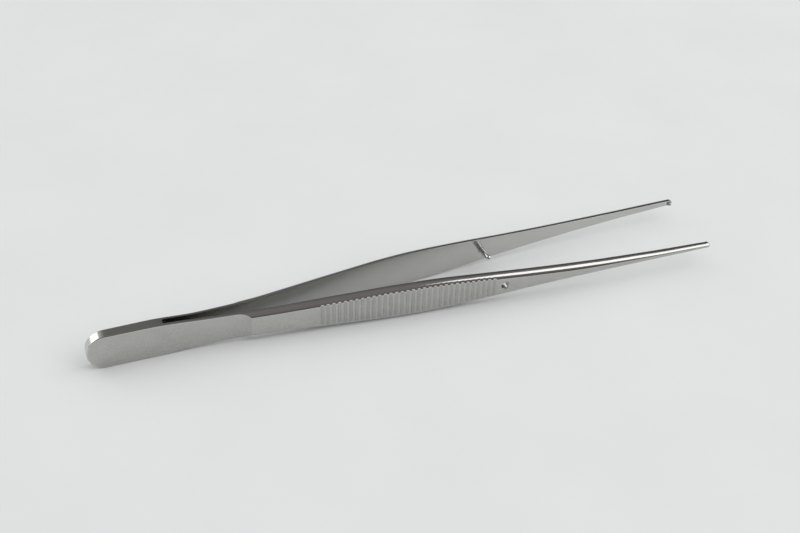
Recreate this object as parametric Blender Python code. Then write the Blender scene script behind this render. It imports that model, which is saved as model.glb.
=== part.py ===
"""Thumb forceps with one tooth on one tip and two on the other, at rest on its long edges.

Metres, +Z up. X runs from the heel to the tips, Y across the opening, and the floor is z = 0. Each piece
is made in the forceps' own frame, whose origin is on the middle line at the heel's end.
"""

import math

import bmesh
import bpy
import numpy as np

MM = 0.001

# Overall sizes
length = 125 * MM
tip_opening = 14.8 * MM  # between the inner faces of the two tips
arm_width = 7.4 * MM  # of the heel and of the grip, the two places that rest on the floor
heel_thickness = 2.12 * MM  # both arms together, at the round end
neck_width = 5.68 * MM
tip_width = 1.0 * MM
tip_end = 0.3  # share of the tip's section that its rounded end keeps

# Where things are along the forceps, from the heel's end
slot_root = 14.0 * MM
step_top = 30.1 * MM
grip_start = 43.0 * MM
grip_length = 35.0 * MM
pin_gap = 1.8 * MM  # from the end of the grip to the pin's axis

# The arms' section
slot_width = 1.2 * MM
leaf_thickness = 0.56 * MM  # spring part, between the slot's root and the step
arm_thickness = 1.5 * MM
step_thickness = 1.4 * MM
tip_thickness = 1.05 * MM
step_run = 2.6 * MM  # length of the hollow ground ramp up to the full thickness
side_flat = 0.5 * MM  # square part of an arm's edge, next to the inner face
thin_flat = 0.45  # most that the square part may take of the edge, where the arm is thin
side_start = math.radians(16)  # slope of the ground round of the side where it leaves the square part
side_end = math.radians(70)  # and where it meets the outer face
inner_break = 0.06 * MM  # rounding of the inner face's long edges
leaf_break = 0.22 * MM  # rounding of the heel's and the spring part's outer edges
most_drop = 0.62  # share of half the width that the ground round may take away, at the slim tips
most_lift = 0.3  # and the inner face's rounding
edge_break = 0.03 * MM  # rounding of the crisp edge between the side and the outer face
corner_blend = 6.0 * MM  # length over which a corner of the long outlines is rounded off

# The serrated grip
groove_pitch = 1.1 * MM
groove_mouth = 0.66 * MM  # across its walls' tops
groove_floor = 0.44 * MM
groove_depth = 0.13 * MM

# The guide pin and its hole
pin_diameter = 1.2 * MM
pin_reach = 3.5 * MM  # out of its arm's inner face
pin_recess = 0.08 * MM  # of its riveted end, under the arm's outer face
pin_lean = math.radians(7)  # towards the tips, because its arm slopes outwards
pin_clearance = 0.02 * MM  # all round, in its own arm
guide_play = 0.15 * MM  # all round, in the other arm
guide_chamfer = 0.12 * MM
guide_flare = 0.25 * MM  # countersink in the inner face, which leads the pin in

# The toothed tips
tooth_width = 0.26 * MM
tooth_height = 0.45 * MM
tooth_length = 1.5 * MM
crown_width = 0.1 * MM
crown_length = 0.52 * MM
tooth_setback = 0.12 * MM  # from the tip's end
tooth_seat = 0.3 * MM  # how deep a tooth's foot goes into its arm
tooth_clearance = 0.06 * MM  # between the single tooth and each of the two, closed

grip_end = grip_start + grip_length
pin_at = grip_end + pin_gap
half_height = arm_width / 2  # also the radius of the heel's round end
twin_offset = tooth_width + tooth_clearance
half_tip = max(tip_width / 2, twin_offset + tooth_width / 2)
nose_round = 0.9 * half_tip

HOLE_SIDES = 24
HEEL_STEPS = 20
SIDE_STEPS = (0.0, 0.4, 0.75, 1.0)
BREAK_ANGLES = [math.radians(angle) for angle in (0, 45, 90)]
SAMPLES = np.linspace(0, length, int(length / (0.125 * MM)) + 1)


def clear_scene():
    for obj in list(bpy.data.objects):
        bpy.data.objects.remove(obj, do_unlink=True)


def mix(a, b, k):
    return a + (b - a) * k


def on_spring(k):
    return mix(slot_root, step_top, k)


def on_grip(k):
    return mix(grip_start, grip_end, k)


def on_nose(k):
    return mix(pin_at, length, k)


def smooth(points):
    """A curve along the length that follows a line through the points, with its corners rounded off."""
    places, values = zip(*points)
    line = np.interp(SAMPLES, places, values)
    reach = int(corner_blend / 2 / SAMPLES[1])
    window = np.hanning(2 * reach + 1)
    padded = np.pad(line, reach, mode="reflect", reflect_type="odd")
    return np.convolve(padded, window / window.sum(), mode="valid")


def at(curve, x):
    return float(np.interp(x, SAMPLES, curve))


def width_curve():
    """Half the arms' width."""
    wide, neck = arm_width / 2, neck_width / 2
    return smooth(
        [
            (0.0, wide),
            (0.93 * slot_root, wide),
            (on_spring(0.41), mix(neck, wide, 0.3)),
            (step_top, neck),
            (mix(step_top, grip_start, 0.24), neck),
            (on_grip(0.06), mix(neck, wide, 0.54)),
            (on_grip(0.38), wide),
            (on_grip(0.58), wide),
            (on_grip(0.72), mix(wide, half_tip, 0.065)),
            (on_grip(0.95), mix(wide, half_tip, 0.24)),
            (on_nose(0.09), mix(wide, half_tip, 0.435)),
            (on_nose(0.27), mix(wide, half_tip, 0.605)),
            (on_nose(0.45), mix(wide, half_tip, 0.745)),
            (on_nose(0.72), mix(wide, half_tip, 0.9)),
            (length, half_tip),
        ]
    )


def gap_curve():
    """Half the space between the inner faces."""
    slot, tip = slot_width / 2, tip_opening / 2
    return smooth(
        [
            (0.0, slot),
            (on_spring(0.3), slot),
            (step_top, mix(slot, tip, 0.096)),
            (on_grip(0.49), mix(slot, tip, 0.498)),
            (on_grip(0.95), mix(slot, tip, 0.65)),
            (on_nose(0.45), mix(slot, tip, 0.85)),
            (on_nose(0.81), mix(slot, tip, 0.955)),
            (length, tip),
        ]
    )


def thickness_curve():
    return smooth(
        [
            (0.0, step_thickness),
            (mix(step_top, grip_start, 0.2), step_thickness),
            (mix(step_top, grip_start, 0.9), arm_thickness),
            (on_nose(0.34), arm_thickness),
            (length, tip_thickness),
        ]
    )


WIDTH = width_curve()
GAP = gap_curve()
THICKNESS = thickness_curve()
ROUNDING = smooth([(0.0, 0.0), (on_spring(0.2), 0.0), (on_spring(0.7), 1.0), (length, 1.0)])


def groove_centres():
    """The grooves stand in the middle of the grip, as many as fit."""
    room = grip_length - groove_mouth
    count = int(room / groove_pitch + 1e-6) + 1
    first = (grip_start + grip_end - (count - 1) * groove_pitch) / 2
    return [first + n * groove_pitch for n in range(count)]


def step_depth(x):
    """How far the outer face lies under the full thickness: a hollow ramp with a sharp top."""
    depth = at(THICKNESS, step_top) - leaf_thickness
    foot = step_top - step_run
    if x <= foot:
        return depth
    if x >= step_top:
        return 0.0
    radius = (step_run**2 + depth**2) / (2 * depth)
    return depth - (radius - math.sqrt(radius**2 - (x - foot) ** 2))


def inner_face(x):
    """Distance of the inner face from the middle plane. The slot's root is a half round."""
    radius = slot_width / 2
    past = x - slot_root
    if past <= 0:
        return 0.0
    if past < radius:
        return math.sqrt(radius**2 - (radius - past) ** 2)
    return at(GAP, x)


def outer_face(x, cut=0.0):
    if x < slot_root:
        return mix(heel_thickness / 2, slot_width / 2 + leaf_thickness, x / slot_root)
    if x <= step_top - step_run:
        return at(GAP, x) + leaf_thickness
    return at(GAP, x) + at(THICKNESS, x) - step_depth(x) - cut


def arc_drop(k):
    """How far the side's arc has come down after the share k of its run, as a share of the run."""
    first, last = math.sin(side_start), math.sin(side_end)
    return (math.cos(side_start) - math.sqrt(1 - mix(first, last, k) ** 2)) / (last - first)


def section(x, cut=0.0, shrink=1.0):
    """Upper half of the arm's section at x, as (y, z), from the inner face's middle to the outer's.

    cut lowers the outer face, as a groove does, and shrink draws the section in for the rounded tip.
    """
    inner, outer = inner_face(x), outer_face(x, cut)
    half, rounding = at(WIDTH, x), at(ROUNDING, x)
    lift = min(inner_break, most_lift * half) * rounding
    edge = mix(edge_break, leaf_break, step_depth(x) / step_depth(0))
    end = inner + at(THICKNESS, x) if x >= slot_root else outer
    start = inner + side_flat
    run = end - start
    scale = min(run, most_drop * half / arc_drop(1)) * rounding
    points = [(inner, 0.0)]
    for a in BREAK_ANGLES:
        points.append((inner + inner_break * (1 - math.cos(a)), half - lift * (1 - math.sin(a))))
    first = min(start, mix(inner + inner_break, outer - edge, thin_flat))
    for k in SIDE_STEPS:
        y = mix(first, outer - edge, k)
        points.append((y, half - scale * arc_drop(max(0.0, (y - start) / run))))
    shoulder = points[-1][1]
    for a in BREAK_ANGLES[1:]:
        points.append((outer - edge * (1 - math.sin(a)), shoulder - edge * (1 - math.cos(a))))
    points.append((outer, 0.0))
    middle = (inner + outer) / 2
    return [(middle + (y - middle) * shrink, z * shrink) for y, z in points]


def stations():
    """(x, groove depth, shrink) of each section, from the end of the heel's round to the tip."""
    foot = step_top - step_run
    centres = groove_centres()
    mouth, floor = groove_mouth / 2, groove_floor / 2
    root_round = slot_width / 2
    plain = list(np.linspace(half_height, slot_root, 4)[:-1])
    plain += [slot_root + root_round * (1 - math.cos(math.radians(a))) for a in (0, 30, 60)]
    plain += list(np.linspace(slot_root + root_round, foot, 8))
    plain += [foot + step_run * k for k in (0.3, 0.55, 0.75, 0.9)]
    plain += list(np.linspace(step_top, centres[0] - mouth, 7)[:-1])
    plain += list(np.linspace(centres[-1] + mouth, length - nose_round, 20)[1:])
    found = [(x, 0.0, 1.0) for x in plain]
    for centre in centres:
        found.append((centre - mouth, 0.0, 1.0))
        found.append((centre - floor, groove_depth, 1.0))
        found.append((centre + floor, groove_depth, 1.0))
        found.append((centre + mouth, 0.0, 1.0))
    for angle in (30, 60, 90):
        a = math.radians(angle)
        found.append((length - nose_round * (1 - math.sin(a)), 0.0, mix(tip_end, 1.0, math.cos(a))))
    return sorted(found)


def skin(bm, rings):
    """Joins each ring of points to the next."""
    for first, second in zip(rings, rings[1:]):
        for k in range(len(first)):
            n = (k + 1) % len(first)
            bm.faces.new([first[k], first[n], second[n], second[k]])


def heel_round(bm, ring, count):
    """Turns the first section's upper half about the heel's centre, down to its lower half."""
    upper = ring[:count]
    lower = [ring[0]] + ring[:count - 1:-1] + [ring[count - 1]]
    previous = upper
    for step in range(1, HEEL_STEPS + 1):
        row = lower
        if step < HEEL_STEPS:
            a = math.pi * step / HEEL_STEPS
            row = [upper[0]]
            for vert in upper[1:-1]:
                out, across = vert.co.z * math.sin(a), vert.co.z * math.cos(a)
                row.append(bm.verts.new((half_height - out, vert.co.y, across)))
            row.append(upper[-1])
        for k in range(count - 1):
            corners = [previous[k], previous[k + 1], row[k + 1], row[k]]
            bm.faces.new(list(dict.fromkeys(corners)))
        previous = row


def finish(bm, name, root, material=None):
    """Makes the mesh an object of the forceps, smooth but for its sharp edges."""
    bmesh.ops.recalc_face_normals(bm, faces=bm.faces)
    mesh = bpy.data.meshes.new(name)
    bm.to_mesh(mesh)
    bm.free()
    mesh.shade_smooth()
    mesh.set_sharp_from_angle(angle=math.radians(30))
    if material:
        mesh.materials.append(material)
    obj = bpy.data.objects.new(name, mesh)
    obj.parent = root
    bpy.context.scene.collection.objects.link(obj)
    return obj


def arm(name, side, root, material):
    """One arm, on the side of the middle plane that side gives as +1 or -1."""
    bm = bmesh.new()
    rings = []
    for x, cut, shrink in stations():
        upper = section(x, cut, shrink)
        lower = [(y, -z) for y, z in upper[-2:0:-1]]
        rings.append([bm.verts.new((x, side * y, z)) for y, z in upper + lower])
    skin(bm, rings)
    bm.faces.new(rings[-1])
    heel_round(bm, rings[0], len(upper))
    return finish(bm, name, root, material)


def turned(name, outline, root, material=None):
    """A solid turned about the Y axis, from an outline of (y, radius)."""
    bm = bmesh.new()
    rings = []
    for y, radius in outline:
        angles = [2 * math.pi * (k + 0.5) / HOLE_SIDES for k in range(HOLE_SIDES)]
        rings.append([bm.verts.new((radius * math.cos(a), y, radius * math.sin(a))) for a in angles])
    skin(bm, rings)
    bm.faces.new(rings[0])
    bm.faces.new(rings[-1])
    return finish(bm, name, root, material)


def tooth(name, side, z, root):
    """A hooked tooth that leans to the tip and rises from its arm's inner face towards the other arm."""
    front = length - tooth_setback
    foot = (inner_face(length) + tooth_seat, tooth_length, tooth_width / 2)
    crown = (inner_face(length) - tooth_height, crown_length, crown_width / 2)
    bm = bmesh.new()
    rings = []
    for y, back, half in (foot, crown):
        corners = [(front - back, -half), (front, -half), (front, half), (front - back, half)]
        rings.append([bm.verts.new((x, side * y, z + across)) for x, across in corners])
    skin(bm, rings)
    bm.faces.new(rings[0])
    bm.faces.new(rings[1])
    return finish(bm, name, root)


def combine(obj, operation, helper):
    helper.hide_render = True
    helper.display_type = "WIRE"
    modifier = obj.modifiers.new(helper.name, "BOOLEAN")
    modifier.operation = operation
    modifier.solver = "EXACT"
    modifier.object = helper


def steel(name, colour, roughness):
    material = bpy.data.materials.new(name)
    material.use_nodes = True
    shader = material.node_tree.nodes["Principled BSDF"]
    shader.inputs["Base Color"].default_value = (*colour, 1)
    shader.inputs["Metallic"].default_value = 1.0
    shader.inputs["Roughness"].default_value = roughness
    return material


def make_hole_arm(root):
    """The near arm, with the guide hole and the single tooth."""
    obj = arm("hole_arm", -1, root, steel("satin_steel_near", (0.60, 0.60, 0.58), 0.38))
    radius = pin_diameter / 2 + guide_play
    inner, outer = inner_face(pin_at), outer_face(pin_at)
    past = arm_thickness
    wide = radius + guide_chamfer + past
    outline = [(-outer - past, wide), (-outer + guide_chamfer, radius)]
    outline += [(-inner - guide_flare, radius), (-inner + past, radius + guide_flare + past)]
    hole = turned("guide_hole", outline, root)
    hole.location.x = pin_at
    combine(obj, "DIFFERENCE", hole)
    combine(obj, "UNION", tooth("single_tooth", -1, 0.0, root))


def make_pin_arm(root):
    """The far arm, with the pin's bore and the two teeth."""
    obj = arm("pin_arm", 1, root, steel("satin_steel_far", (0.58, 0.58, 0.56), 0.40))
    radius = pin_diameter / 2 + pin_clearance
    bore = turned("pin_bore", [(-arm_thickness, radius), (2 * arm_thickness, radius)], root)
    seat_on_axis(bore)
    combine(obj, "DIFFERENCE", bore)
    combine(obj, "UNION", tooth("upper_tooth", 1, twin_offset, root))
    combine(obj, "UNION", tooth("lower_tooth", 1, -twin_offset, root))


def seat_on_axis(obj):
    """Puts a turned piece on the pin's axis, with its origin in the far arm's inner face."""
    obj.location = (pin_at, inner_face(pin_at), 0)
    obj.rotation_euler.z = pin_lean


def make_pin(root):
    radius = pin_diameter / 2
    riveted = outer_face(pin_at) - inner_face(pin_at) - pin_recess
    dome = [(radius * (1 - math.sin(a)) - pin_reach, radius * math.cos(a)) for a in (0.0, 0.45, 0.9, 1.3)]
    material = steel("polished_steel", (0.66, 0.66, 0.65), 0.12)
    seat_on_axis(turned("guide_pin", [(riveted, radius)] + dome, root, material))


clear_scene()
forceps = bpy.data.objects.new("forceps", None)
forceps.location = (-length / 2, 0, half_height)
bpy.context.scene.collection.objects.link(forceps)
make_hole_arm(forceps)
make_pin_arm(forceps)
make_pin(forceps)
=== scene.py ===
"""Thumb forceps in satin and polished steel on a pale floor: the fine surfaces, the light and the camera.

Metres, +Z up. X runs from the heel to the tips, Y across the opening, and the floor is z = 0. The shapes are
first made in the forceps' own frame, whose origin is the middle of the heel's end.
"""

import math

import bmesh
import bpy
import numpy as np
from mathutils import Matrix, Vector


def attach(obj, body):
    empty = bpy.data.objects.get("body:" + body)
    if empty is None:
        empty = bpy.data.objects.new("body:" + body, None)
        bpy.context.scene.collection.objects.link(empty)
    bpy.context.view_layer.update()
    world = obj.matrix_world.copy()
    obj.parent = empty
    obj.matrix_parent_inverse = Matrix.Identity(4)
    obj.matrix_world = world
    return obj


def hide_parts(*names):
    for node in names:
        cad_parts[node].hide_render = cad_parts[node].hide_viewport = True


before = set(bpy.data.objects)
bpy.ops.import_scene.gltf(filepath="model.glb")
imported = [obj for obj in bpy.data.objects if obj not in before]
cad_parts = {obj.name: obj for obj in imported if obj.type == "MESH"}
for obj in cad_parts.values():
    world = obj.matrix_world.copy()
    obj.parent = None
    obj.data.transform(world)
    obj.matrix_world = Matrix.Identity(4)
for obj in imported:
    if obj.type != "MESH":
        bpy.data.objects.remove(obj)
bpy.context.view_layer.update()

MM = 0.001

# Overall sizes
length = 125 * MM
tip_opening = 14.8 * MM  # between the inner faces of the two tips
arm_width = 7.4 * MM  # of the heel and of the grip, the two places that rest on the floor
heel_thickness = 2.12 * MM  # both arms together, at the round end
neck_width = 5.68 * MM
tip_width = 1.0 * MM
tip_end = 0.3  # share of the tip's section that its rounded end keeps

# Where things are along the forceps, from the heel's end
slot_root = 14.0 * MM
step_top = 30.1 * MM
grip_start = 43.0 * MM
grip_length = 35.0 * MM
pin_gap = 1.8 * MM  # from the end of the grip to the pin's axis

# The arms' section
slot_width = 1.2 * MM
leaf_thickness = 0.56 * MM  # spring part, between the slot's root and the step
arm_thickness = 1.5 * MM
step_thickness = 1.4 * MM
tip_thickness = 1.05 * MM
step_run = 2.6 * MM  # length of the hollow ground ramp up to the full thickness
side_flat = 0.5 * MM  # square part of an arm's edge, next to the inner face
thin_flat = 0.45  # most that the square part may take of the edge, where the arm is thin
side_start = math.radians(16)  # slope of the ground round of the side where it leaves the square part
side_end = math.radians(70)  # and where it meets the outer face
inner_break = 0.06 * MM  # rounding of the inner face's long edges
leaf_break = 0.22 * MM  # rounding of the heel's and the spring part's outer edges
most_drop = 0.62  # share of half the width that the ground round may take away, at the slim tips
most_lift = 0.3  # and the inner face's rounding
least_rounding = 0.05  # share of their full rounding that the inner edges keep at the heel
edge_break = 0.03 * MM  # rounding of the crisp edge between the side and the outer face
corner_blend = 6.0 * MM  # length over which a corner of the long outlines is rounded off

# The serrated grip
groove_pitch = 1.1 * MM
groove_mouth = 0.66 * MM  # across its walls' tops
groove_floor = 0.44 * MM
groove_depth = 0.13 * MM
groove_end_break = 0.36 * MM  # rounding of the outer edge at the end of a groove, into the side
groove_end_reach = 0.32 * MM  # and down the outer face
# Points of a groove's wall: share of the way from floor to mouth, and share of the depth
GROOVE_WALL = ((-0.2, 0.98), (0.2, 0.83), (0.5, 0.5), (0.8, 0.17), (1.2, 0.02))

# The guide pin and its hole
pin_diameter = 1.2 * MM
pin_reach = 3.5 * MM  # out of its arm's inner face
pin_recess = 0.08 * MM  # of its riveted end, under the arm's outer face
pin_lean = math.radians(7)  # towards the tips, because its arm slopes outwards
pin_clearance = 0.02 * MM  # all round, in its own arm
guide_play = 0.15 * MM  # all round, in the other arm
guide_chamfer = 0.12 * MM
guide_flare = 0.25 * MM  # countersink in the inner face, which leads the pin in

# The toothed tips
tooth_width = 0.26 * MM
tooth_height = 0.45 * MM
tooth_length = 1.5 * MM
crown_width = 0.1 * MM
crown_length = 0.52 * MM
tooth_setback = 0.12 * MM  # from the tip's end
tooth_seat = 0.3 * MM  # how deep a tooth's foot goes into its arm
tooth_clearance = 0.06 * MM  # between the single tooth and each of the two, closed
tooth_break = 0.035 * MM  # rounding of a tooth's edges

grip_end = grip_start + grip_length
pin_at = grip_end + pin_gap
half_height = arm_width / 2  # also the radius of the heel's round end
twin_offset = tooth_width + tooth_clearance
half_tip = max(tip_width / 2, twin_offset + tooth_width / 2)
nose_round = 0.9 * half_tip

# From the forceps' own frame to the row's
TO_ROW = Matrix.Translation((-length / 2, 0, half_height))

# How finely the curves and surfaces are drawn
SAMPLE_SPACING = 0.125 * MM
SAMPLES = np.linspace(0, length, int(length / SAMPLE_SPACING) + 1)
HEEL_STEPS = 48
HEEL_SECTIONS = 14
ROOT_ANGLES = range(0, 90, 10)
SPRING_SECTIONS = 30
STEP_SECTIONS = 14
CREST_WIDTH = 0.05 * MM  # between the two sections that keep the step's upper edge crisp
PAST_CREST = 0.2 * MM  # from that edge to the next section
NECK_SECTIONS = 28
TIP_SECTIONS = 90
NOSE_SECTIONS = 8
SIDE_COLUMNS = 22
FACE_COLUMNS = (0.0, 0.3, 0.6, 0.85, 0.96)
FLAT_POINT = 0.9  # share of the side's flat at which it gets a point of its own
BREAK_STEPS = 4
TURNED_SIDES = 96
DOME_ANGLES = np.linspace(0, 1.5, 16)  # short of a right angle, where a ring would have no width
SHARP_ANGLE = math.radians(32)

# An arm's zones, which are its material slots. GROOVE and TOOTH get darker steel colours, which are painted shade
OUTSIDE, SIDE, INSIDE, GROOVE, TOOTH = range(5)
INNER_COLUMNS = len(FACE_COLUMNS)
SIDE_END = INNER_COLUMNS + 1 + BREAK_STEPS + 2 + SIDE_COLUMNS + BREAK_STEPS
FLOOR_SHARE = 0.85  # share of the grooves' depth past which a face counts as a groove's floor and takes the groove's painted shade

FLOOR_HALF_SIDE = 1.6


def mix(a, b, k):
    return a + (b - a) * k


def on_spring(k):
    return mix(slot_root, step_top, k)


def on_grip(k):
    return mix(grip_start, grip_end, k)


def on_nose(k):
    return mix(pin_at, length, k)


def smooth(points):
    """A curve along the length that follows a line through the points, with its corners rounded off."""
    places, values = zip(*points)
    line = np.interp(SAMPLES, places, values)
    reach = int(corner_blend / 2 / SAMPLES[1])
    window = np.hanning(2 * reach + 1)
    padded = np.pad(line, reach, mode="reflect", reflect_type="odd")
    return np.convolve(padded, window / window.sum(), mode="valid")


def width_curve():
    """Half the arms' width."""
    wide, neck = arm_width / 2, neck_width / 2
    return smooth(
        [
            (0.0, wide),
            (0.93 * slot_root, wide),
            (on_spring(0.41), mix(neck, wide, 0.3)),
            (step_top, neck),
            (mix(step_top, grip_start, 0.24), neck),
            (on_grip(0.06), mix(neck, wide, 0.54)),
            (on_grip(0.38), wide),
            (on_grip(0.58), wide),
            (on_grip(0.72), mix(wide, half_tip, 0.065)),
            (on_grip(0.95), mix(wide, half_tip, 0.24)),
            (on_nose(0.09), mix(wide, half_tip, 0.435)),
            (on_nose(0.27), mix(wide, half_tip, 0.605)),
            (on_nose(0.45), mix(wide, half_tip, 0.745)),
            (on_nose(0.72), mix(wide, half_tip, 0.9)),
            (length, half_tip),
        ]
    )


def gap_curve():
    """Half the space between the inner faces."""
    slot, tip = slot_width / 2, tip_opening / 2
    return smooth(
        [
            (0.0, slot),
            (on_spring(0.3), slot),
            (step_top, mix(slot, tip, 0.096)),
            (on_grip(0.49), mix(slot, tip, 0.498)),
            (on_grip(0.95), mix(slot, tip, 0.65)),
            (on_nose(0.45), mix(slot, tip, 0.85)),
            (on_nose(0.81), mix(slot, tip, 0.955)),
            (length, tip),
        ]
    )


def thickness_curve():
    return smooth(
        [
            (0.0, step_thickness),
            (mix(step_top, grip_start, 0.2), step_thickness),
            (mix(step_top, grip_start, 0.9), arm_thickness),
            (on_nose(0.34), arm_thickness),
            (length, tip_thickness),
        ]
    )


WIDTH = width_curve()
GAP = gap_curve()
THICKNESS = thickness_curve()
ROUNDING = smooth([(0.0, 0.0), (on_spring(0.2), 0.0), (on_spring(0.7), 1.0), (length, 1.0)])


def at(curve, x):
    return float(np.interp(x, SAMPLES, curve))


def step_depth(x):
    """How far the outer face lies under the full thickness: a hollow ramp, round at its foot."""
    depth = at(THICKNESS, step_top) - leaf_thickness
    foot = step_top - step_run
    if x <= foot:
        return depth
    if x >= step_top:
        return 0.0
    radius = (step_run**2 + depth**2) / (2 * depth)
    return depth - (radius - math.sqrt(radius**2 - (x - foot) ** 2))


def inner_face(x):
    """Distance of the inner face from the middle plane. The slot's root is a half round."""
    radius = slot_width / 2
    past = x - slot_root
    if past <= 0:
        return 0.0
    if past < radius:
        return math.sqrt(radius**2 - (radius - past) ** 2)
    return at(GAP, x)


def outer_face(x, cut=0.0):
    """Distance of the outer face from the middle plane, where a groove goes in by cut."""
    if x < slot_root:
        return mix(heel_thickness / 2, slot_width / 2 + leaf_thickness, x / slot_root)
    if x <= step_top - step_run:
        return at(GAP, x) + leaf_thickness
    return at(GAP, x) + at(THICKNESS, x) - step_depth(x) - cut


def arc_drop(k):
    """How far the side's arc has come down after the share k of its run, as a share of the run."""
    first, last = math.sin(side_start), math.sin(side_end)
    return (math.cos(side_start) - math.sqrt(1 - mix(first, last, k) ** 2)) / (last - first)


def rounded(start, slope, outer, reach):
    """Points from start, on the side, to reach below the corner on the outer face, tangent to both."""
    y, z = start
    corner = z - slope * (outer - y)
    points = []
    for step in range(1, BREAK_STEPS + 1):
        k = step / BREAK_STEPS
        across = mix(mix(y, outer, k), outer, k)
        down = mix(mix(z, corner, k), mix(corner, corner - reach, k), k)
        points.append((across, down))
    return points


def groove_centres():
    """The grooves stand in the middle of the grip, as many as fit."""
    room = grip_length - groove_mouth
    count = int(room / groove_pitch + 1e-6) + 1
    first = (grip_start + grip_end - (count - 1) * groove_pitch) / 2
    return [first + n * groove_pitch for n in range(count)]


def groove_profile():
    """(offset, depth) across one groove: steep walls whose lips and foot are rounded off."""
    mouth, floor = groove_mouth / 2, groove_floor / 2
    half = [(floor * 0.5, 1.0)]
    half += [(mix(floor, mouth, way), share) for way, share in GROOVE_WALL]
    half.append((mix(mouth, groove_pitch / 2, 0.4), 0.0))
    return [(-u, d * groove_depth) for u, d in reversed(half)] + [(u, d * groove_depth) for u, d in half]


def scallop(x):
    """How far a groove's end opens out at x: 1 in the middle of a groove and 0 between two."""
    centres = groove_centres()
    if not centres[0] - groove_pitch / 2 < x < centres[-1] + groove_pitch / 2:
        return 0.0
    return math.cos(math.pi * (x - centres[0]) / groove_pitch) ** 2


def section(x, cut=0.0, shrink=1.0):
    """Upper half of the arm's section at x, as (y, z), from the middle of the inner face to that of the outer."""
    inner, outer = inner_face(x), outer_face(x, cut)
    half, rounding = at(WIDTH, x), at(ROUNDING, x)
    lift = min(inner_break, most_lift * half) * max(rounding, least_rounding)
    edge = mix(edge_break, leaf_break, step_depth(x) / step_depth(0))
    opened = scallop(x)
    edge_y = mix(edge, groove_end_break, opened)
    edge_z = mix(edge, groove_end_reach, opened)
    end = inner + at(THICKNESS, x) if x >= slot_root else outer
    start = inner + side_flat
    run = end - start
    scale = min(run, most_drop * half / arc_drop(1)) * rounding
    points = [(inner, (half - lift) * k) for k in FACE_COLUMNS]
    for step in range(BREAK_STEPS + 1):
        a = math.pi / 2 * step / BREAK_STEPS
        points.append((inner + inner_break * (1 - math.cos(a)), half - lift * (1 - math.sin(a))))
    first = min(start, mix(inner + inner_break, outer - edge_y, thin_flat))
    points.append((mix(inner + inner_break, first, FLAT_POINT), half))
    for column in range(SIDE_COLUMNS + 1):
        y = mix(first, outer - edge_y, column / SIDE_COLUMNS)
        down = max(0.0, (y - start) / run)
        points.append((y, half - scale * arc_drop(down)))
    sine = mix(math.sin(side_start), math.sin(side_end), down)
    slope = scale / run * sine / math.sqrt(1 - sine**2) if down else 0.0
    points += rounded(points[-1], slope, outer, edge_z)
    top = points[-1][1]
    points += [(outer, top * k) for k in reversed(FACE_COLUMNS)]
    middle = (inner + outer) / 2
    return [(middle + (y - middle) * shrink, z * shrink) for y, z in points]


def stations():
    """(x, groove depth, shrink) of each section, from the end of the heel's round to the tip."""
    foot = step_top - step_run
    centres = groove_centres()
    profile = groove_profile()
    root_round = slot_width / 2
    plain = list(np.linspace(half_height, slot_root, HEEL_SECTIONS)[:-1])
    plain += [slot_root + root_round * (1 - math.cos(math.radians(a))) for a in ROOT_ANGLES]
    plain += list(np.linspace(slot_root + root_round, foot, SPRING_SECTIONS))
    plain += [foot + step_run * math.sin(math.pi / 2 * k / STEP_SECTIONS) for k in range(1, STEP_SECTIONS)]
    plain += [step_top, step_top + CREST_WIDTH]
    plain += list(np.linspace(step_top + PAST_CREST, centres[0] - groove_pitch / 2, NECK_SECTIONS))
    plain += list(np.linspace(centres[-1] + groove_pitch / 2, length - nose_round, TIP_SECTIONS))
    found = [(x, 0.0, 1.0) for x in plain]
    for centre in centres:
        found += [(centre + offset, depth, 1.0) for offset, depth in profile]
    for step in range(1, NOSE_SECTIONS):
        a = math.pi / 2 * step / NOSE_SECTIONS
        found.append((length - nose_round * (1 - math.sin(a)), 0.0, mix(tip_end, 1.0, math.cos(a))))
    return sorted(found)


def mesh_object(name, bm, materials=()):
    bmesh.ops.recalc_face_normals(bm, faces=bm.faces)
    mesh = bpy.data.meshes.new(name)
    bm.to_mesh(mesh)
    bm.free()
    mesh.shade_smooth()
    mesh.set_sharp_from_angle(angle=SHARP_ANGLE)
    for material in materials:
        mesh.materials.append(material)
    obj = bpy.data.objects.new(name, mesh)
    bpy.context.scene.collection.objects.link(obj)
    return obj


def zone(column, count):
    """Material slot of the faces that start at this column."""
    column = column if column < count - 1 else 2 * (count - 1) - 1 - column
    if column < INNER_COLUMNS:
        return INSIDE
    return SIDE if column < SIDE_END - 1 else OUTSIDE


def turned_ring(points, step):
    """The points of the upper half, turned by this step about the cross line at the centre of the heel's round."""
    a = math.pi * step / HEEL_STEPS
    return [(half_height - z * math.sin(a), y, z * math.cos(a)) for y, z in points]


def close_heel(bm, ring, count):
    """Turns the upper half of the first section, of count points, round the heel's end to its lower half."""
    upper_ring = ring[:count]
    lower_ring = [ring[0]] + ring[:count - 1:-1] + [ring[count - 1]]
    points = [(vert.co.y, vert.co.z) for vert in upper_ring]
    previous = upper_ring
    for step in range(1, HEEL_STEPS + 1):
        row = lower_ring
        if step < HEEL_STEPS:
            inside = [bm.verts.new(point) for point in turned_ring(points, step)[1:-1]]
            row = [upper_ring[0]] + inside + [upper_ring[-1]]
        for k in range(count - 1):
            corners = list(dict.fromkeys([previous[k], previous[k + 1], row[k + 1], row[k]]))
            bm.faces.new(corners).material_index = zone(k, count)
        previous = row


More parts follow.
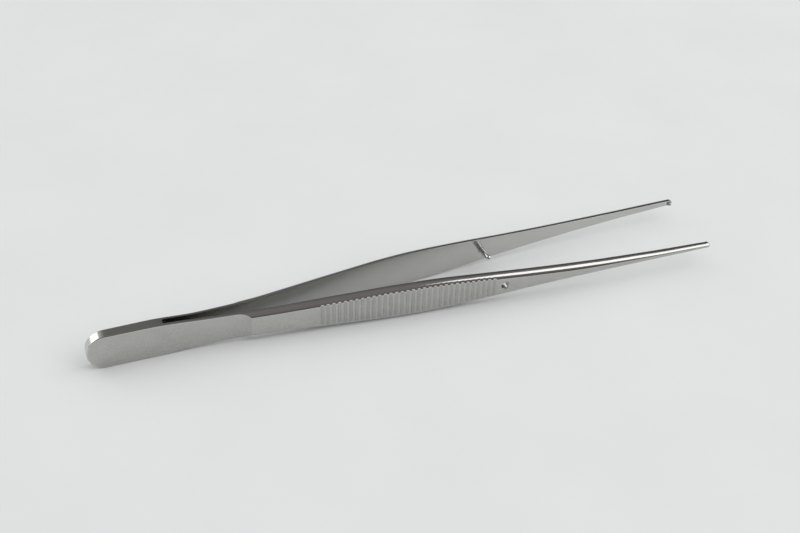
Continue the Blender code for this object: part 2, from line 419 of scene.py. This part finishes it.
def arm(name, side, materials):
    """One arm as a fine skin, on the side of the middle plane that side gives as +1 or -1."""
    bm = bmesh.new()
    rings = []
    cuts = []
    for x, cut, shrink in stations():
        upper = section(x, cut, shrink)
        lower = [(y, -z) for y, z in upper[-2:0:-1]]
        rings.append([bm.verts.new((x, side * y, z)) for y, z in upper + lower])
        cuts.append(cut)
    count = len(upper)
    total = len(rings[0])
    for number, (first, second) in enumerate(zip(rings, rings[1:])):
        mean_cut = (cuts[number] + cuts[number + 1]) / 2
        deep = mean_cut > FLOOR_SHARE * groove_depth
        for k in range(total):
            n = (k + 1) % total
            face = bm.faces.new([first[k], first[n], second[n], second[k]])
            slot = zone(k, count)
            # Deep faces of the grooves take a darker steel colour there: painted shade
            face.material_index = GROOVE if deep and slot == OUTSIDE else slot
    bm.faces.new(rings[-1]).material_index = SIDE
    close_heel(bm, rings[0], count)
    return mesh_object(name, bm, materials)


def turned(name, outline, materials=()):
    """A solid turned about the Y axis, from an outline of (y, radius)."""
    angles = [2 * math.pi * k / TURNED_SIDES for k in range(TURNED_SIDES)]
    bm = bmesh.new()
    rings = []
    for y, radius in outline:
        rings.append([bm.verts.new((radius * math.cos(a), y, radius * math.sin(a))) for a in angles])
    for first, second in zip(rings, rings[1:]):
        for k in range(TURNED_SIDES):
            n = (k + 1) % TURNED_SIDES
            bm.faces.new([first[k], first[n], second[n], second[k]])
    bm.faces.new(rings[0])
    bm.faces.new(rings[-1])
    return mesh_object(name, bm, materials)


def tooth(name, side, z, materials):
    """A tooth of the arm on this side, at height z, from a wide foot in the arm to a narrow crown."""
    front = length - tooth_setback
    foot = (inner_face(length) + tooth_seat, tooth_length, tooth_width / 2)
    crown = (inner_face(length) - tooth_height, crown_length, crown_width / 2)
    bm = bmesh.new()
    rings = []
    for y, back, half in (foot, crown):
        corners = [(front - back, -half), (front, -half), (front, half), (front - back, half)]
        rings.append([bm.verts.new((x, side * y, z + across)) for x, across in corners])
    for k in range(4):
        n = (k + 1) % 4
        bm.faces.new([rings[0][k], rings[0][n], rings[1][n], rings[1][k]])
    bm.faces.new(rings[0])
    bm.faces.new(rings[1])
    bmesh.ops.bevel(bm, geom=list(bm.edges), offset=tooth_break, segments=3, profile=0.5, affect="EDGES")
    # The whole tooth takes the near-black tooth colour, which is painted shade
    for face in bm.faces:
        face.material_index = TOOTH
    return mesh_object(name, bm, materials)


def seat_on_axis(obj):
    """Puts a turned piece on the pin's axis, with its origin in the far arm's inner face."""
    place = Matrix.Translation((pin_at, inner_face(pin_at), 0)) @ Matrix.Rotation(pin_lean, 4, "Z")
    obj.data.transform(place)


def guide_hole():
    """The hole through the near arm, chamfered outside and countersunk inside."""
    radius = pin_diameter / 2 + guide_play
    inner, outer = inner_face(pin_at), outer_face(pin_at)
    past = arm_thickness
    wide = radius + guide_chamfer + past
    outline = [(-outer - past, wide), (-outer + guide_chamfer, radius)]
    outline += [(-inner - guide_flare, radius), (-inner + past, radius + guide_flare + past)]
    hole = turned("guide_hole", outline)
    hole.data.transform(Matrix.Translation((pin_at, 0, 0)))
    return hole


def pin_bore():
    """The bore through the far arm that the pin sits in."""
    radius = pin_diameter / 2 + pin_clearance
    bore = turned("pin_bore", [(-arm_thickness, radius), (2 * arm_thickness, radius)])
    seat_on_axis(bore)
    return bore


def apply_boolean(obj, operation, helper):
    modifier = obj.modifiers.new(helper.name, "BOOLEAN")
    modifier.operation = operation
    modifier.solver = "EXACT"
    modifier.object = helper
    depsgraph = bpy.context.evaluated_depsgraph_get()
    mesh = bpy.data.meshes.new_from_object(obj.evaluated_get(depsgraph))
    obj.modifiers.remove(modifier)
    obj.data = mesh
    bpy.data.objects.remove(helper)


class Nodes:
    """Adds nodes to a material or world and links them."""

    def __init__(self, owner):
        owner.use_nodes = True
        self.tree = owner.node_tree
        self.tree.nodes.clear()

    def add(self, kind, inputs=None, **settings):
        node = self.tree.nodes.new(kind)
        for key, value in settings.items():
            setattr(node, key, value)
        for key, value in (inputs or {}).items():
            self.feed(node.inputs[key], value)
        return node

    def feed(self, socket, value):
        """Gives the socket a constant, or links it to another node's output."""
        if isinstance(value, bpy.types.NodeSocket):
            self.tree.links.new(value, socket)
        else:
            socket.default_value = value

    def noise(self, vector, axis_scale, size, detail):
        """Noise with grains about this size in metres, which an axis scale under 1 draws out."""
        place = self.add("ShaderNodeMapping", {"Vector": vector, "Scale": axis_scale})
        inputs = {"Vector": place.outputs[0], "Scale": 1 / size, "Detail": detail, "Roughness": 0.55}
        return self.add("ShaderNodeTexNoise", inputs).outputs["Fac"]

    def ramp(self, value, start, end):
        """0 where the value is start, 1 where it is end."""
        inputs = {"Value": value, "From Min": start, "From Max": end}
        return self.add("ShaderNodeMapRange", inputs).outputs[0]

    def spread(self, value, low, high):
        """Maps 0.3 to 0.7, where most of a noise lies, to low to high."""
        inputs = {"Value": value, "From Min": 0.3, "From Max": 0.7, "To Min": low, "To Max": high}
        return self.add("ShaderNodeMapRange", inputs).outputs[0]

    def total(self, first, second):
        return self.add("ShaderNodeMath", {0: first, 1: second}, operation="ADD").outputs[0]

    def blend(self, factor, first, second):
        """Colour between two, each an (r, g, b) or another node's output."""
        node = self.add("ShaderNodeMix", {0: factor}, data_type="RGBA")
        for number, colour in ((6, first), (7, second)):
            self.feed(node.inputs[number], (*colour, 1) if isinstance(colour, tuple) else colour)
        return node.outputs[2]


def steel(name, dark, light, roughness, grain, stretch, bump):
    """Steel with grain of that size in metres, drawn out along X by stretch."""
    material = bpy.data.materials.new(name)
    nodes = Nodes(material)
    where = nodes.add("ShaderNodeTexCoord").outputs["Object"]
    fine = nodes.noise(where, (1 / stretch, 1, 1), grain, 4.0)
    soft = nodes.noise(where, (0.6, 1, 1), 2.2 * MM, 3.0)
    streaks = nodes.noise(where, (0.06, 1, 1), 0.16 * MM, 2.0)
    tone = nodes.total(nodes.spread(soft, 0.0, 0.6), nodes.spread(fine, 0.0, 0.4))
    wear = nodes.total(nodes.spread(fine, 0.0, 0.5), nodes.spread(streaks, 0.0, 0.5))
    rough_inputs = {"Value": wear, "To Min": roughness[0], "To Max": roughness[1]}
    relief_inputs = {"Height": nodes.total(fine, streaks), "Strength": 1.0, "Distance": bump}
    inputs = {
        "Base Color": nodes.blend(tone, dark, light),
        "Metallic": 1.0,
        "Roughness": nodes.add("ShaderNodeMapRange", rough_inputs).outputs[0],
        "Normal": nodes.add("ShaderNodeBump", relief_inputs).outputs[0],
    }
    shader = nodes.add("ShaderNodeBsdfPrincipled", inputs)
    nodes.add("ShaderNodeOutputMaterial", {"Surface": shader.outputs[0]})
    return material


def arm_steels_and_shades():
    """The materials of an arm, in the order of its zones. The groove and tooth colours are painted shade."""
    outside = steel(
        "satin_outside",
        dark=(0.46, 0.46, 0.44),
        light=(0.52, 0.52, 0.50),
        roughness=(0.24, 0.33),
        grain=0.10 * MM,
        stretch=3,
        bump=0.004 * MM,
    )
    sides = steel(
        "polished_sides",
        dark=(0.58, 0.58, 0.57),
        light=(0.62, 0.62, 0.61),
        roughness=(0.08, 0.14),
        grain=0.2 * MM,
        stretch=12,
        bump=0.0003 * MM,
    )
    inside = steel(
        "satin_inside",
        dark=(0.53, 0.53, 0.51),
        light=(0.57, 0.57, 0.55),
        roughness=(0.18, 0.24),
        grain=0.10 * MM,
        stretch=3,
        bump=0.0012 * MM,
    )
    # Darker than the outer face: the groove floors' painted shade
    groove = steel(
        "groove_painted_shade",
        dark=(0.40, 0.40, 0.39),
        light=(0.47, 0.47, 0.46),
        roughness=(0.30, 0.40),
        grain=0.10 * MM,
        stretch=1,
        bump=0.004 * MM,
    )
    # Near black: painted shade on the teeth, which are the arms' own steel
    teeth = steel(
        "tooth_painted_shade",
        dark=(0.16, 0.16, 0.16),
        light=(0.24, 0.24, 0.24),
        roughness=(0.20, 0.30),
        grain=0.06 * MM,
        stretch=1,
        bump=0.001 * MM,
    )
    return [outside, sides, inside, groove, teeth]


# Polished steel, made lighter than the arms' polished sides: the extra lightness is a painted highlight
def pin_polish_and_highlight():
    return steel(
        "polished_pin_painted_highlight",
        dark=(0.76, 0.76, 0.75),
        light=(0.82, 0.82, 0.81),
        roughness=(0.05, 0.10),
        grain=0.2 * MM,
        stretch=1,
        bump=0.0004 * MM,
    )


def floor_material():
    material = bpy.data.materials.new("pale_floor")
    nodes = Nodes(material)
    where = nodes.add("ShaderNodeTexCoord").outputs["Object"]
    clouds = nodes.spread(nodes.noise(where, (1, 1, 1), 30 * MM, 3.0), 0.0, 1.0)
    inputs = {
        "Base Color": nodes.blend(clouds, (0.700, 0.708, 0.708), (0.722, 0.730, 0.728)),
        "Roughness": 0.85,
        "Specular IOR Level": 0.2,
    }
    shader = nodes.add("ShaderNodeBsdfPrincipled", inputs)
    nodes.add("ShaderNodeOutputMaterial", {"Surface": shader.outputs[0]})
    return material


def make_floor():
    bm = bmesh.new()
    bmesh.ops.create_grid(bm, x_segments=8, y_segments=8, size=FLOOR_HALF_SIDE)
    mesh = bpy.data.meshes.new("floor")
    bm.to_mesh(mesh)
    bm.free()
    floor = bpy.data.objects.new("floor", mesh)
    floor.data.materials.append(floor_material())
    bpy.context.scene.collection.objects.link(floor)


def towards(azimuth, elevation):
    """Unit vector. Azimuth 0 is +Y and 90 is +X."""
    azimuth, elevation = math.radians(azimuth), math.radians(elevation)
    flat = math.cos(elevation)
    return Vector((flat * math.sin(azimuth), flat * math.cos(azimuth), math.sin(elevation)))


def softbox(name, azimuth, elevation, size, radiance, reach):
    """A rectangular light at reach from the forceps and facing them. Its size is a share of the reach."""
    width, height = size[0] * reach, size[1] * reach
    light = bpy.data.lights.new(name, "AREA")
    light.shape = "RECTANGLE"
    light.size = width
    light.size_y = height
    light.energy = radiance * math.pi * width * height
    obj = bpy.data.objects.new(name, light)
    obj.location = towards(azimuth, elevation) * reach
    obj.rotation_euler = (-obj.location).to_track_quat("-Z", "Y").to_euler()
    bpy.context.scene.collection.objects.link(obj)


def make_room():
    """The room as the steel shows it: dim, but for a bright part behind on the left.

    The floor gets its light mostly from above instead, and the camera sees a backdrop about as pale as the floor.
    """
    world = bpy.data.worlds.new("room")
    bpy.context.scene.world = world
    nodes = Nodes(world)
    direction = nodes.add("ShaderNodeTexCoord").outputs["Generated"]
    axes = nodes.add("ShaderNodeSeparateXYZ", {"Vector": direction}).outputs
    front = nodes.blend(nodes.ramp(axes["Z"], 0.1, 0.65), (0.10, 0.093, 0.092), (0.206, 0.19, 0.185))
    right = nodes.blend(nodes.ramp(axes["X"], 0.1, 0.42), (0.165, 0.165, 0.162), (0.095, 0.097, 0.099))
    behind = nodes.blend(nodes.ramp(axes["X"], 0.05, -0.5), right, (0.90, 0.90, 0.89))
    reflected = nodes.blend(nodes.ramp(axes["Y"], 0.5, -0.2), behind, front)
    above = nodes.blend(nodes.ramp(axes["Z"], 0.15, 0.85), (0.11, 0.11, 0.11), (1.08, 1.08, 1.08))
    rays = nodes.add("ShaderNodeLightPath").outputs
    light = nodes.blend(rays["Is Glossy Ray"], above, reflected)
    colour = nodes.blend(rays["Is Camera Ray"], light, (0.76, 0.77, 0.765))
    background = nodes.add("ShaderNodeBackground", {"Color": colour})
    nodes.add("ShaderNodeOutputWorld", {"Surface": background.outputs[0]})


def make_light():
    make_room()
    softbox("key", azimuth=110, elevation=37, size=(1.12, 0.85), radiance=1.5, reach=2.0)
    softbox("window", azimuth=-46, elevation=24, size=(0.62, 0.60), radiance=1.2, reach=1.5)


def make_camera():
    """The camera as fitted to the photo."""
    camera = bpy.data.cameras.new("camera")
    camera.sensor_width = 36.0
    camera.lens = 55.32
    camera.clip_start = 0.01
    obj = bpy.data.objects.new("camera", camera)
    place = Vector((-70.196, -170.119, 156.579)) * MM
    elevation, yaw, roll = 0.680346, 0.380157, 0.037584
    right = Vector((math.cos(yaw), -math.sin(yaw), 0))
    forward = Vector((math.sin(yaw), math.cos(yaw), 0)) * math.cos(elevation)
    forward += Vector((0, 0, -math.sin(elevation)))
    up = right.cross(forward)
    across = right * math.cos(roll) + up * math.sin(roll)
    upward = up * math.cos(roll) - right * math.sin(roll)
    turn = Matrix((across, upward, -forward)).transposed().to_4x4()
    obj.matrix_world = Matrix.Translation(place) @ turn
    bpy.context.scene.collection.objects.link(obj)
    bpy.context.scene.camera = obj


def dress(obj, node):
    """Stands obj for the CAD node, in the row's frame."""
    obj.data.transform(TO_ROW)
    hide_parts(node)
    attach(obj, "root")


def make_arms():
    steels_and_shades = arm_steels_and_shades()
    near = arm("hole_arm_skin", -1, steels_and_shades)
    apply_boolean(near, "DIFFERENCE", guide_hole())
    apply_boolean(near, "UNION", tooth("single_tooth", -1, 0.0, steels_and_shades))
    dress(near, "hole_arm")
    far = arm("pin_arm_skin", 1, steels_and_shades)
    apply_boolean(far, "DIFFERENCE", pin_bore())
    apply_boolean(far, "UNION", tooth("upper_tooth", 1, twin_offset, steels_and_shades))
    apply_boolean(far, "UNION", tooth("lower_tooth", 1, -twin_offset, steels_and_shades))
    dress(far, "pin_arm")


def make_pin():
    """The guide pin, from its riveted end to its domed free end."""
    radius = pin_diameter / 2
    riveted = outer_face(pin_at) - inner_face(pin_at) - pin_recess
    dome = [(radius * (1 - math.sin(a)) - pin_reach, radius * math.cos(a)) for a in DOME_ANGLES]
    pin = turned("guide_pin_skin", [(riveted, radius), (0.0, radius)] + dome, [pin_polish_and_highlight()])
    seat_on_axis(pin)
    dress(pin, "guide_pin")


bpy.context.scene.view_settings.view_transform = "Standard"
make_camera()
make_floor()
make_light()
make_arms()
make_pin()
